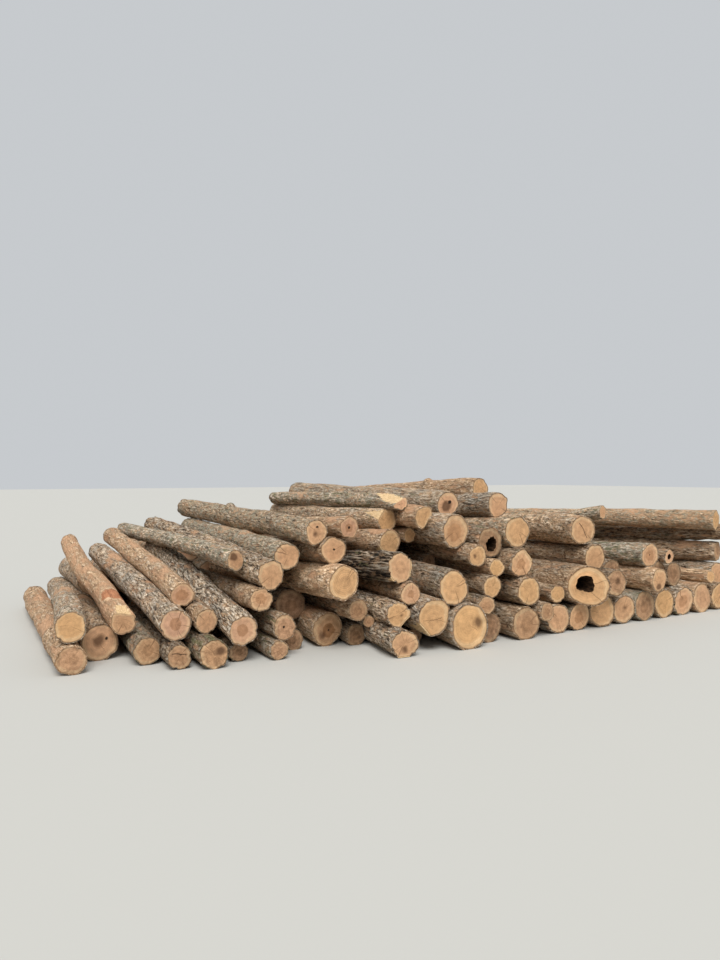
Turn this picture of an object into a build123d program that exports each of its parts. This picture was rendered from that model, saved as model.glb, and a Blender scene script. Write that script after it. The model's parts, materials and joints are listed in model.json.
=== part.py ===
from build123d import *
from dataclasses import dataclass
import math
import os

import numpy as np

# A heap of hardwood sawlogs, tipped roughly side by side on level ground with their
# sawn ends to the front. Sizes are in millimetres. +X runs along the heap, +Y from the
# front ends to the back and +Z up. Every log is one solid, a tapered and slightly
# crooked stem between two saw cuts, and it comes to rest on the logs laid before it.

# Driving sizes
foot = 304.8
trim_allowance = 100          # length that the mill asks for beyond the whole feet
seat_clearance = 0.5          # upright gap where one log bears on another
section_sides = 18            # facets round a stem
ovality = 0.03                # share by which a stem is wider one way than the other
lobing = 0.015                # share by which it bulges in three places
station_shares = (0.0, 0.3, 0.65, 1.0)   # where along a crooked stem its section is drawn
stub_sides = 8
stub_root = 0.7               # where a stub starts inside the stem, as a share of its radius
stub_taper = 0.8              # the stub's broken end as a share of its foot
hollow_taper = 0.55           # the rotten hollow's inner end as a share of its mouth

# How far a log may roll sideways at its near and far end to find a groove
near_roll = 40
far_roll = 80
roll_steps = (24, 6, 1.5, 0.4)
ground_reach = 60             # gap that closes when a ground log rolls against its neighbour


@dataclass
class Log:
    tally: int                # number of the log in the tally of the heap
    feet: int                 # stock length, before the trim allowance
    near: float               # diameter at the front end
    far: float                # diameter at the back end
    across: float             # near end's centre, from the left corner of the heap
    back: float               # near end's centre, from the front of the heap
    turn: float               # degrees by which the far end swings to the right
    bow: float                # sideways crook at mid-length, to the right


# The tally: each course holds the logs that lie in it, in the order they were laid
courses = {
    "ground_course_left": [
        Log(2, 16, 360, 390, 310, 1680, 1, 0),
        Log(3, 8, 470, 430, 760, 2230, 4, 0),
        Log(6, 10, 340, 330, 1200, 1690, 3, 0),
        Log(7, 10, 300, 330, 1530, 1280, 3, 0),
        Log(10, 10, 370, 350, 1860, 1090, 2, 0),
        Log(12, 12, 250, 300, 2290, 1270, 1, 0),
    ],
    "ground_course_middle": [
        Log(121, 10, 234, 229, 4740, 900, 5, 0),
        Log(21, 12, 260, 280, 2760, 1090, 0, 0),
        Log(70, 10, 300, 320, 3130, 1500, 0, 0),
        Log(22, 12, 460, 420, 3660, 1460, 4, 0),
        Log(38, 10, 300, 300, 4010, 1310, 6, 0),
        Log(39, 12, 370, 340, 4240, 370, 6, 0),
        Log(51, 14, 620, 560, 5260, 320, 4, 0),
    ],
    "ground_course_right": [
        Log(72, 12, 420, 380, 5770, 500, 4, 0),
        Log(55, 12, 500, 440, 6330, 370, 3, 0),
        Log(73, 12, 460, 400, 7030, 420, 2, 0),
        Log(74, 12, 440, 410, 7530, 420, 2, 0),
        Log(75, 12, 520, 450, 8020, 400, 2, 0),
        Log(76, 12, 490, 430, 8530, 400, 1, 0),
        Log(77, 12, 490, 440, 9020, 400, 0, 0),
        Log(78, 12, 500, 440, 9510, 400, 0, 0),
        Log(79, 12, 490, 440, 10000, 400, 0, 0),
        Log(80, 12, 490, 430, 10490, 400, 0, 0),
        Log(81, 12, 490, 430, 10980, 400, 0, 0),
        Log(82, 12, 440, 400, 11440, 400, 0, 0),
    ],
    "rear_ground_course": [
        Log(90, 8, 440, 420, 930, 5000, 0, 0),
        Log(91, 8, 480, 440, 1430, 5000, 0, 0),
        Log(92, 8, 460, 440, 1940, 5000, 0, 0),
        Log(93, 8, 500, 460, 2460, 5100, 0, 0),
        Log(94, 8, 480, 450, 2990, 5100, 0, 0),
        Log(95, 8, 460, 440, 3510, 5300, 0, 0),
        Log(106, 8, 480, 450, 4090, 5300, 0, 0),
        Log(107, 8, 440, 420, 4700, 4900, 0, 0),
        Log(108, 8, 440, 420, 5300, 4900, 0, 0),
        Log(109, 8, 440, 420, 5900, 4900, 0, 0),
    ],
    "rear_second_course": [
        Log(105, 8, 460, 430, 1180, 5050, 0, 0),
        Log(96, 8, 460, 430, 1690, 5050, 0, 0),
        Log(97, 8, 480, 440, 2200, 5150, 0, 0),
        Log(98, 8, 460, 440, 2730, 5150, 0, 0),
        Log(99, 8, 460, 430, 3250, 5250, 0, 0),
        Log(110, 8, 520, 500, 3790, 5350, 0, 0),
        Log(111, 8, 560, 520, 4390, 5350, 0, 0),
        Log(112, 8, 460, 440, 5000, 5100, 0, 0),
        Log(113, 8, 460, 440, 5600, 5100, 0, 0),
    ],
    "rear_third_course": [
        Log(100, 8, 480, 440, 2450, 5800, 0, 0),
        Log(101, 8, 480, 450, 2980, 5800, 0, 0),
        Log(114, 8, 520, 480, 4100, 5600, 0, 0),
        Log(115, 8, 400, 380, 4700, 5500, 0, 0),
        Log(116, 8, 380, 360, 5300, 5500, 0, 0),
    ],
    "second_course_left": [
        Log(1, 10, 375, 350, 285, 1760, 5, 20),
        Log(4, 14, 330, 300, 980, 2090, 1, -60),
        Log(5, 14, 400, 360, 1460, 1470, -2, 40),
        Log(9, 12, 310, 300, 1870, 1470, -1, 0),
        Log(11, 14, 380, 340, 2250, 1130, -1, 20),
    ],
    "second_course_middle": [
        Log(20, 12, 330, 310, 2810, 1160, 0, 20),
        Log(86, 8, 460, 440, 3370, 2000, 0, 0),
        Log(37, 8, 170, 170, 4080, 1100, 6, 0),
        Log(36, 12, 310, 290, 3840, 1020, 0, 0),
        Log(34, 10, 340, 330, 4250, 610, 6, -20),
        Log(35, 14, 490, 425, 4720, 420, 5, -30),
        Log(50, 12, 270, 260, 5650, 440, 4, 0),
    ],
    "second_course_right": [
        Log(54, 10, 260, 250, 6710, 300, 2, 0),
        Log(49, 14, 420, 400, 6360, 380, 3, 30),
        Log(52, 10, 280, 270, 7000, 440, 2, 0),
        Log(57, 12, 420, 380, 8030, 230, 2, 20),
        Log(84, 14, 400, 380, 8510, 700, 0, 0),
        Log(61, 12, 370, 350, 9010, 150, 0, 25),
        Log(83, 14, 420, 380, 9500, 600, 0, 0),
        Log(85, 14, 400, 380, 10010, 600, 0, 0),
        Log(60, 14, 230, 260, 10600, 350, -3, -30),
        Log(65, 12, 420, 380, 11160, 600, 0, 0),
    ],
    "hollow_log": [
        Log(53, 14, 585, 520, 7430, 260, 3, 0),
    ],
    "third_course_left": [
        Log(8, 14, 310, 300, 1660, 1820, 0, 30),
        Log(13, 12, 300, 290, 2490, 1140, 3, 0),
        Log(14, 16, 380, 330, 2670, 1240, -3, 30),
        Log(15, 16, 265, 250, 2440, 1700, -5, 30),
    ],
    "third_course_middle": [
        Log(32, 12, 310, 300, 4460, 620, 5, 20),
        Log(19, 14, 460, 420, 3535, 860, -3, 40),
        Log(33, 14, 480, 420, 5080, 430, 3, 40),
        Log(48, 12, 310, 290, 5760, 490, 3, 0),
        Log(31, 14, 400, 380, 4400, 700, 2, -30),
        Log(18, 14, 370, 340, 3590, 1190, -2, 30),
        Log(87, 8, 260, 250, 5490, 1700, 0, 0),
        Log(88, 10, 450, 430, 4000, 2200, 0, 0),
        Log(66, 12, 360, 340, 4850, 1900, 0, 0),
        Log(117, 8, 260, 250, 5130, 2100, 0, 0),
    ],
    "third_course_right": [
        Log(45, 14, 410, 380, 6400, 470, 2, 25),
        Log(47, 10, 260, 250, 5900, 530, 2, 0),
        Log(56, 12, 410, 390, 7760, 400, 5, -30),
        Log(58, 14, 390, 360, 8990, 360, 5, 30),
        Log(59, 12, 220, 240, 9620, 460, 2, 0),
        Log(89, 12, 440, 400, 9350, 2100, 0, 0),
    ],
    "crossing_logs": [
        Log(64, 14, 360, 320, 11250, 650, -15, 0),
        Log(68, 12, 300, 280, 11250, 500, -12, 0),
        Log(63, 16, 360, 320, 11080, 540, -17, 60),
    ],
    "upper_course_left": [
        Log(16, 14, 380, 340, 3010, 1500, -1, 40),
        Log(17, 16, 340, 320, 3380, 1225, -5, 60),
        Log(23, 14, 330, 300, 4100, 1730, -2, -40),
    ],
    "upper_course_middle": [
        Log(40, 12, 300, 290, 5590, 620, 2, 0),
        Log(30, 14, 480, 440, 5480, 880, 2, -30),
        Log(24, 14, 375, 342, 4550, 1330, 0, 30),
        Log(44, 12, 443, 422, 5953, 740, 2, -20),
        Log(26, 10, 225, 215, 5130, 1560, 0, 0),
        Log(25, 14, 340, 310, 4710, 1680, 3, -40),
        Log(27, 12, 335, 310, 5090, 1110, 2, 40),
    ],
    "upper_course_right": [
        Log(43, 14, 460, 400, 6396, 680, 2, -30),
        Log(46, 12, 450, 420, 7620, 470, 10, 30),
    ],
    "leaning_log": [
        Log(62, 12, 235, 320, 9320, 1560, -15, 40),
    ],
    "top_logs": [
        Log(28, 14, 268, 240, 4900, 1469, -3, 40),
        Log(29, 16, 395, 350, 5650, 1385, -3, 30),
        Log(42, 14, 400, 360, 6522, 1200, 0, -40),
        Log(41, 14, 370, 330, 6720, 1900, -3, 35),
    ],
}

@dataclass
class Stub:
    tally: int                # log that the branch grew on
    share: float              # place along the stem, from the front end
    lean: float               # degrees round the stem from straight up, to the right
    forward: float            # degrees by which the stub leans toward the back end
    thickness: float          # diameter where it leaves the bark
    height: float             # how far it stands out


# Stubs of branches that were trimmed off
stubs = [
    Stub(17, 0.22, -50, 15, 150, 60),
    Stub(17, 0.55, -20, 20, 120, 70),
    Stub(41, 0.30, -25, 20, 110, 60),
    Stub(28, 0.35, -10, 15, 90, 55),
    Stub(46, 0.25, 20, 20, 130, 60),
    Stub(63, 0.45, -15, -15, 120, 60),
]


@dataclass
class Hollow:
    tally: int                # log whose heart has rotted out
    mouth: float              # width of the hollow at the front saw cut
    depth: float              # how far it runs in
    aside: float              # mouth's centre, right of the pith
    up: float                 # mouth's centre, above the pith


hollows = [
    Hollow(53, 230, 1500, -10, 15),
    Hollow(44, 120, 600, 25, 20),
    Hollow(59, 80, 400, 0, 10),
]


def stem_length(log):
    return log.feet * foot + trim_allowance


def stem_thickness(log):
    return log.near


def unit_section(log):
    # A closed outline of about unit radius, out of round in its own way for each log
    # and flat where it lies, with the area of a round stem
    corners = np.arange(section_sides)
    angles = 2 * np.pi * (corners + 0.5) / section_sides - np.pi / 2
    grain_turn = math.radians(137.5) * log.tally
    reach = 1 + ovality * np.cos(2 * angles - grain_turn)
    reach += lobing * np.cos(3 * angles + 2 * grain_turn)
    facet_angle = 2 * math.pi / section_sides
    reach *= math.sqrt(facet_angle / math.sin(facet_angle))
    sideways = reach * np.cos(angles)
    upward = reach * np.sin(angles)
    upward[[0, -1]] = upward[[0, -1]].mean()
    return sideways, upward


def stem_rings(log, near_shift=0.0, far_shift=0.0):
    # The stem's sections as an array of station, corner and coordinate, level at z 0
    length = stem_length(log)
    turn = math.radians(log.turn) + math.atan2(far_shift - near_shift, length)
    along = np.array([math.sin(turn), math.cos(turn), 0.0])
    aside = np.array([math.cos(turn), -math.sin(turn), 0.0])
    start = np.array([log.across, log.back, 0.0]) + near_shift * aside
    sideways, upward = unit_section(log)
    shares = station_shares if log.bow else (0.0, 1.0)
    rings = []
    for share in shares:
        radius = (log.near + (log.far - log.near) * share) / 2
        centre = start + share * length * along + 4 * share * (1 - share) * log.bow * aside
        ring = centre + radius * np.outer(sideways, aside)
        ring[:, 2] += radius * upward
        rings.append(ring)
    return np.array(rings), start, along


def half_surface(rings, side):
    # Corners, edges and triangles of the facets that face up (side 1) or down (side -1)
    middle = rings[0, :, 2].mean()
    reach = np.abs(rings[0, :, 2] - middle).max()
    corners, edges, triangles = [], [], []
    last = len(rings) - 1
    count = rings.shape[1]
    for first in range(count):
        second = (first + 1) % count
        facet_height = (rings[0, first, 2] + rings[0, second, 2]) / 2 - middle
        if side * facet_height < -0.1 * reach:
            continue
        corners.append(rings[:, first])
        corners.append(rings[:, second])
        for span in range(last):
            a, b = rings[span, first], rings[span, second]
            c, d = rings[span + 1, second], rings[span + 1, first]
            triangles += [(a, b, c), (a, c, d)]
            edges += [(a, d), (b, c)]
        edges += [(ring[first], ring[second]) for ring in rings]
    return np.concatenate(corners), np.array(edges), np.array(triangles)


def cross(a, b):
    return a[..., 0] * b[..., 1] - a[..., 1] * b[..., 0]


def heights_on(points, triangles):
    # Where the points fall inside triangles in plan: point numbers, heights there
    a, b, c = triangles[:, 0], triangles[:, 1], triangles[:, 2]
    area = cross(b - a, c - a)
    flat = np.abs(area) > 1e-6
    a, b, c, area = a[flat], b[flat], c[flat], area[flat]
    spread = points[:, None]
    share_b = cross(spread - a, c - a) / area
    share_c = cross(b - a, spread - a) / area
    inside = (share_b >= -1e-9) & (share_c >= -1e-9) & (share_b + share_c <= 1 + 1e-9)
    number, triangle = np.nonzero(inside)
    share_b = share_b[inside]
    share_c = share_c[inside]
    a, b, c = a[triangle, 2], b[triangle, 2], c[triangle, 2]
    return number, a + share_b * (b - a) + share_c * (c - a)


def crossings(upper_edges, lower_edges):
    # Where edges cross in plan: the places, and the upper edge's height over the lower
    start, step = upper_edges[:, None, 0], upper_edges[:, None, 1] - upper_edges[:, None, 0]
    other, stride = lower_edges[:, 0], lower_edges[:, 1] - lower_edges[:, 0]
    turn = cross(step, stride)
    skew = np.abs(turn) > 1e-9
    turn = np.where(skew, turn, 1.0)
    apart = other - start
    share = cross(apart, stride) / turn
    other_share = cross(apart, step) / turn
    meet = skew & (share >= 0) & (share <= 1) & (other_share >= 0) & (other_share <= 1)
    upper, lower = np.nonzero(meet)
    share = share[meet][:, None]
    other_share = other_share[meet][:, None]
    place = start[upper, 0] + share * step[upper, 0]
    below = other[lower] + other_share * stride[lower]
    return place, place[:, 2] - below[:, 2]


def gaps_between(upper, lower):
    # Places where a surface could meet the one below it, with the gap at each
    corners, edges, triangles = upper
    lower_corners, lower_edges, lower_triangles = lower
    number, height = heights_on(corners, lower_triangles)
    places = [corners[number]]
    gaps = [corners[number, 2] - height]
    number, height = heights_on(lower_corners, triangles)
    places.append(lower_corners[number])
    gaps.append(height - lower_corners[number, 2])
    place, gap = crossings(edges, lower_edges)
    places.append(place)
    gaps.append(gap)
    return np.concatenate(places), np.concatenate(gaps) - seat_clearance


def upright_gaps(rings, laid):
    # Places where the stem could touch the ground or a laid log, with the gap at each
    underside = half_surface(rings, -1)
    places = [underside[0]]
    gaps = [underside[0][:, 2]]
    low, high = rings.min((0, 1)), rings.max((0, 1))
    for other in laid:
        if (other["low"][:2] > high[:2]).any() or (other["high"][:2] < low[:2]).any():
            continue
        place, gap = gaps_between(underside, other["upper side"])
        places.append(place)
        gaps.append(gap)
    return np.concatenate(places), np.concatenate(gaps)


def gap_to_the_left(rings, laid):
    # Level distance from a log on the ground to the nearest one on its left
    flank = half_surface(rings[:, :, ::-1], -1)
    nearest = math.inf
    for other in laid:
        if other["on ground"] and other["low"][0] < rings[:, :, 0].min():
            place, gap = gaps_between(flank, half_surface(other["rings"][:, :, ::-1], 1))
            nearest = min(nearest, gap.min(initial=math.inf))
    return nearest


def settle(rings, start, along, laid):
    # Drop at the centre of the stem, and fall along it, that bring it onto two supports
    places, gaps = upright_gaps(rings, laid)
    run = (places - start) @ along
    length = (rings[-1].mean(0) - start) @ along
    centre = balance_point(rings) * length
    before = run <= centre
    left = np.flatnonzero(before)
    right = np.flatnonzero(~before)
    i = left[gaps[left].argmin()]
    j = right[gaps[right].argmin()]
    while True:
        fall = (gaps[j] - gaps[i]) / (run[j] - run[i])
        spare = gaps - gaps[i] - fall * (run - run[i])
        worst = spare.argmin()
        if spare[worst] > -1e-6:
            break
        if before[worst]:
            i = worst
        else:
            j = worst
    drop = gaps[i] + fall * (centre - run[i])
    return drop, fall, centre


def balance_point(rings):
    # Share of the length at which a tapered stem balances
    near = np.ptp(rings[0, :, 2])
    far = np.ptp(rings[-1, :, 2])
    volume = near * near + near * far + far * far
    return (near * near + 2 * near * far + 3 * far * far) / (4 * volume)


def lay(log, laid, on_ground):
    # Roll the log sideways, a little at each end, to where its middle lies lowest
    def drop_at(shifts):
        rings, start, along = stem_rings(log, *shifts)
        return settle(rings, start, along, laid)[0]

    shifts = (0.0, 0.0)
    best = drop_at(shifts)
    for step in roll_steps:
        improved = True
        while improved:
            improved = False
            for near_step, far_step in ((1, 1), (-1, -1), (1, 0), (-1, 0), (0, 1), (0, -1)):
                trial = (shifts[0] + near_step * step, shifts[1] + far_step * step)
                if abs(trial[0]) > near_roll or abs(trial[1]) > far_roll:
                    continue
                drop = drop_at(trial)
                if drop > best + 0.01:
                    shifts, best, improved = trial, drop, True
    rings, start, along = stem_rings(log, *shifts)
    drop, fall, centre = settle(rings, start, along, laid)
    run = (rings - start) @ along
    rings[:, :, 2] -= drop + fall * (run - centre)
    if on_ground:
        gap = gap_to_the_left(rings, laid)
        if gap < ground_reach:
            rings[:, :, 0] -= gap
    laid.append({
        "log": log, "rings": rings, "shifts": shifts, "on ground": on_ground,
        "upper side": half_surface(rings, 1),
        "low": rings.min((0, 1)), "high": rings.max((0, 1)),
    })
    return laid[-1]


def lay_heap():
    laid = []
    for course, logs in courses.items():
        for log in logs:
            lay(log, laid, "ground" in course)
    return laid


def flat_face(*corners):
    points = [tuple(corner) for corner in corners]
    return Face(Wire.make_polygon(points, close=True))


def faceted_solid(rings):
    # One solid between two flat ends; its facets run from ring to ring and are all flat
    faces = [flat_face(*rings[0]), flat_face(*rings[-1])]
    for front, back in zip(rings, rings[1:]):
        next_front = np.roll(front, -1, 0)
        next_back = np.roll(back, -1, 0)
        for a, b, c, d in zip(front, next_front, next_back, back):
            faces.append(flat_face(a, b, c, d))
    return Solid(Shell(faces))


def stem_frame(item, share):
    # Centre and radius of a laid stem's section, its heading, and its right-hand side
    rings = item["rings"]
    shares = station_shares if len(rings) > 2 else (0.0, 1.0)
    centres = rings.mean(1)
    centre = np.array([np.interp(share, shares, centres[:, axis]) for axis in range(3)])
    log = item["log"]
    radius = (log.near + (log.far - log.near) * share) / 2
    along = centres[-1] - centres[0]
    along /= np.linalg.norm(along)
    aside = rings[0][0] - rings[0][-1]
    aside /= np.linalg.norm(aside)
    return centre, radius, along, aside


def stub_rings(stub, item):
    centre, radius, along, aside = stem_frame(item, stub.share)
    up = np.cross(aside, along)
    lean = math.radians(stub.lean)
    forward = math.radians(stub.forward)
    outward = math.cos(lean) * up + math.sin(lean) * aside
    direction = math.cos(forward) * outward + math.sin(forward) * along
    first = np.cross(direction, outward + along)
    first /= np.linalg.norm(first)
    second = np.cross(direction, first)
    angles = 2 * np.pi * np.arange(stub_sides) / stub_sides
    outline = np.outer(np.cos(angles), first) + np.outer(np.sin(angles), second)
    foot = centre + stub_root * radius * direction
    tip = centre + (radius + stub.height) * direction
    return np.array([
        foot + stub.thickness / 2 * outline,
        tip + stub_taper * stub.thickness / 2 * outline,
    ])


def hollow_rings(hollow, item):
    # The hollow as a tapered plug that starts a little before the saw cut
    centre, radius, along, aside = stem_frame(item, 0.0)
    sideways, upward = unit_section(item["log"])
    mouth = centre + hollow.aside * aside
    mouth[2] += hollow.up
    outline = np.outer(sideways, aside)
    outline[:, 2] += upward
    lead = hollow.mouth * 0.1
    return np.array([
        mouth - lead * along + hollow.mouth / 2 * outline,
        mouth + hollow.depth * along + hollow_taper * hollow.mouth / 2 * outline,
    ])


def centre_heap(laid, trimmings):
    # Move the heap so that its box stands on z 0 with the origin under its centre
    corners = [item["rings"].reshape(-1, 3) for item in laid]
    corners += [rings[-1] for rings, item in trimmings]
    corners = np.concatenate(corners)
    low, high = corners.min(0), corners.max(0)
    shift = -np.array([(low[0] + high[0]) / 2, (low[1] + high[1]) / 2, low[2]])
    return shift, high - low


def make_log(item, shift, stub_shapes, hollow_shapes):
    solid = faceted_solid(item["rings"] + shift)
    for rings in stub_shapes:
        solid = (solid + faceted_solid(rings + shift)).solid()
    for rings in hollow_shapes:
        solid = (solid - faceted_solid(rings + shift)).solid()
    return solid


def main():
    laid = lay_heap()
    by_tally = {item["log"].tally: item for item in laid}
    trimmings = [(stub_rings(stub, by_tally[stub.tally]), stub.tally) for stub in stubs]
    rotten = [(hollow_rings(hollow, by_tally[hollow.tally]), hollow.tally) for hollow in hollows]
    shift, box = centre_heap(laid, trimmings)
    os.makedirs("parts", exist_ok=True)
    volume = 0.0
    for node, logs in courses.items():
        solids = []
        for log in logs:
            stub_shapes = [rings for rings, tally in trimmings if tally == log.tally]
            hollow_shapes = [rings for rings, tally in rotten if tally == log.tally]
            solids.append(make_log(by_tally[log.tally], shift, stub_shapes, hollow_shapes))
        volume += sum(solid.volume for solid in solids)
        export_step(Compound(solids), f"parts/{node}.step")
    thickest = max(courses["ground_course_middle"], key=stem_thickness)
    bed = by_tally[thickest.tally]["rings"][:, [0, -1]].reshape(-1, 3).mean(0) + shift
    print("logs", len(laid), "volume m3", round(volume / 1e9, 2))
    print("box mm", *(round(float(size), 1) for size in box))
    print("tally origin in the heap's frame mm", *(round(float(value), 1) for value in shift))
    print("ground face mm", *(round(float(value), 2) for value in bed))


if __name__ == "__main__":
    main()
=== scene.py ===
import json
import math

import bmesh
import bpy
import numpy as np
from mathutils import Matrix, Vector

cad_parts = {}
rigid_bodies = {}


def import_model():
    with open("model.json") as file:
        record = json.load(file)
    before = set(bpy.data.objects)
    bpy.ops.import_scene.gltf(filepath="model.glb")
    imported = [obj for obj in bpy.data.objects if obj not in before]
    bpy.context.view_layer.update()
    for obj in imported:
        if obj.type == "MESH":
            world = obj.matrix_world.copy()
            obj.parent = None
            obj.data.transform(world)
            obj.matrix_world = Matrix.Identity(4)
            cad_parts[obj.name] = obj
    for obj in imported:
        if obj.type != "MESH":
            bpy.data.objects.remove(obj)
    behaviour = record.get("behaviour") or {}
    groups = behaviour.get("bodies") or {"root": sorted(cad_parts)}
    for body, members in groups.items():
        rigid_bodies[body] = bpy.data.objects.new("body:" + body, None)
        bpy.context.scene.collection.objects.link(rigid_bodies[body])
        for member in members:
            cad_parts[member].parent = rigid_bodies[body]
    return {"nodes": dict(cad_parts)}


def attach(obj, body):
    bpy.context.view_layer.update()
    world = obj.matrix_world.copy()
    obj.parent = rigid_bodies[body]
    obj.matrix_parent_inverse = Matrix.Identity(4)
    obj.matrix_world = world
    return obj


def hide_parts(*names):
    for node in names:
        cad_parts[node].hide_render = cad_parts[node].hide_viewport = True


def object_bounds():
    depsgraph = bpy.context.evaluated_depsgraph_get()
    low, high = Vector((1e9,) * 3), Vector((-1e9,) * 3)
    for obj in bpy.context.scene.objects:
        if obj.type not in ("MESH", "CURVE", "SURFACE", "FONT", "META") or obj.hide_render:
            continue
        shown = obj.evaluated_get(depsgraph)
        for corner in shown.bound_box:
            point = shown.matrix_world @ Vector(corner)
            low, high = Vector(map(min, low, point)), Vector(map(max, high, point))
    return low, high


# A heap of hardwood sawlogs: furrowed bark, tan saw cuts, one log hollow.
# Every log of the frame is redrawn as a crooked stem with bark relief and proper saw cuts.

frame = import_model()
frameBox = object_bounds()
nodes = frame["nodes"]
print("frame loaded:", len(nodes), "courses of logs")

stemMesh = {
    "around": 56,          # facets round a stem that shows
    "along": 76,           # sections along it
    "aroundHidden": 32,
    "alongHidden": 36,
    # loops across a saw cut, as shares of its radius; the first is where bark meets wood
    "cutRings": (0.935, 0.85, 0.62, 0.36, 0.14),
}

barkSlot, cutSlot, rotAndShadeSlot, tornSlot = range(4)   # the places of a log's materials

# What a log looks like. Bark: how light, how warm (0 grey, 1 tan), how deep its furrows are
# in mm, how much of it is scuffed, lichened and mossy.
barkKinds = {
    "grey": {"light": 0.52, "warm": 0.30, "furrow": 8, "scuff": 0.22, "lichen": 0.30, "moss": 0.0},
    "furrowed": {"light": 0.50, "warm": 0.28, "furrow": 15, "scuff": 0.06, "lichen": 0.25, "moss": 0.0},
    "brown": {"light": 0.44, "warm": 0.72, "furrow": 8, "scuff": 0.26, "lichen": 0.12, "moss": 0.0},
    "tan": {"light": 0.58, "warm": 0.80, "furrow": 6, "scuff": 0.46, "lichen": 0.12, "moss": 0.0},
    "ridged": {"light": 0.27, "warm": 0.42, "furrow": 19, "scuff": 0.0, "lichen": 0.12, "moss": 0.0},
    "smooth": {"light": 0.46, "warm": 0.40, "furrow": 3, "scuff": 0.12, "lichen": 0.22, "moss": 0.0},
    "lichened": {"light": 0.56, "warm": 0.36, "furrow": 7, "scuff": 0.20, "lichen": 0.72, "moss": 0.08},
    "mossy": {"light": 0.42, "warm": 0.45, "furrow": 7, "scuff": 0.18, "lichen": 0.50, "moss": 0.32},
    "peeled": {"light": 0.60, "warm": 0.95, "furrow": 4, "scuff": 0.86, "lichen": 0.10, "moss": 0.0},
    "dark": {"light": 0.30, "warm": 0.50, "furrow": 8, "scuff": 0.08, "lichen": 0.12, "moss": 0.06},
}
# Cut: how light, how yellow (0 pinkish, 1 golden), how dark its heart, how much of it is stained.
cutKinds = {
    "tan": {"light": 0.51, "yellow": 0.45, "heart": 0.14, "stain": 0.12},
    "golden": {"light": 0.53, "yellow": 0.75, "heart": 0.08, "stain": 0.08},
    "pink": {"light": 0.53, "yellow": 0.15, "heart": 0.50, "stain": 0.08},
    "hearted": {"light": 0.53, "yellow": 0.40, "heart": 0.45, "stain": 0.10},
    "pale": {"light": 0.60, "yellow": 0.35, "heart": 0.08, "stain": 0.12},
    "dull": {"light": 0.36, "yellow": 0.45, "heart": 0.25, "stain": 0.30},
    "rough": {"light": 0.46, "yellow": 0.40, "heart": 0.15, "stain": 0.62},
    "rotten": {"light": 0.38, "yellow": 0.45, "heart": 0.75, "stain": 0.35},
    # dirty and shaded: dirt stains, plus a darkness that is painted shade, for ends deep in the heap or in
    # its shadow
    "dirtyAndShaded": {"light": 0.25, "yellow": 0.35, "heart": 0.30, "stain": 0.45},
}
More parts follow.
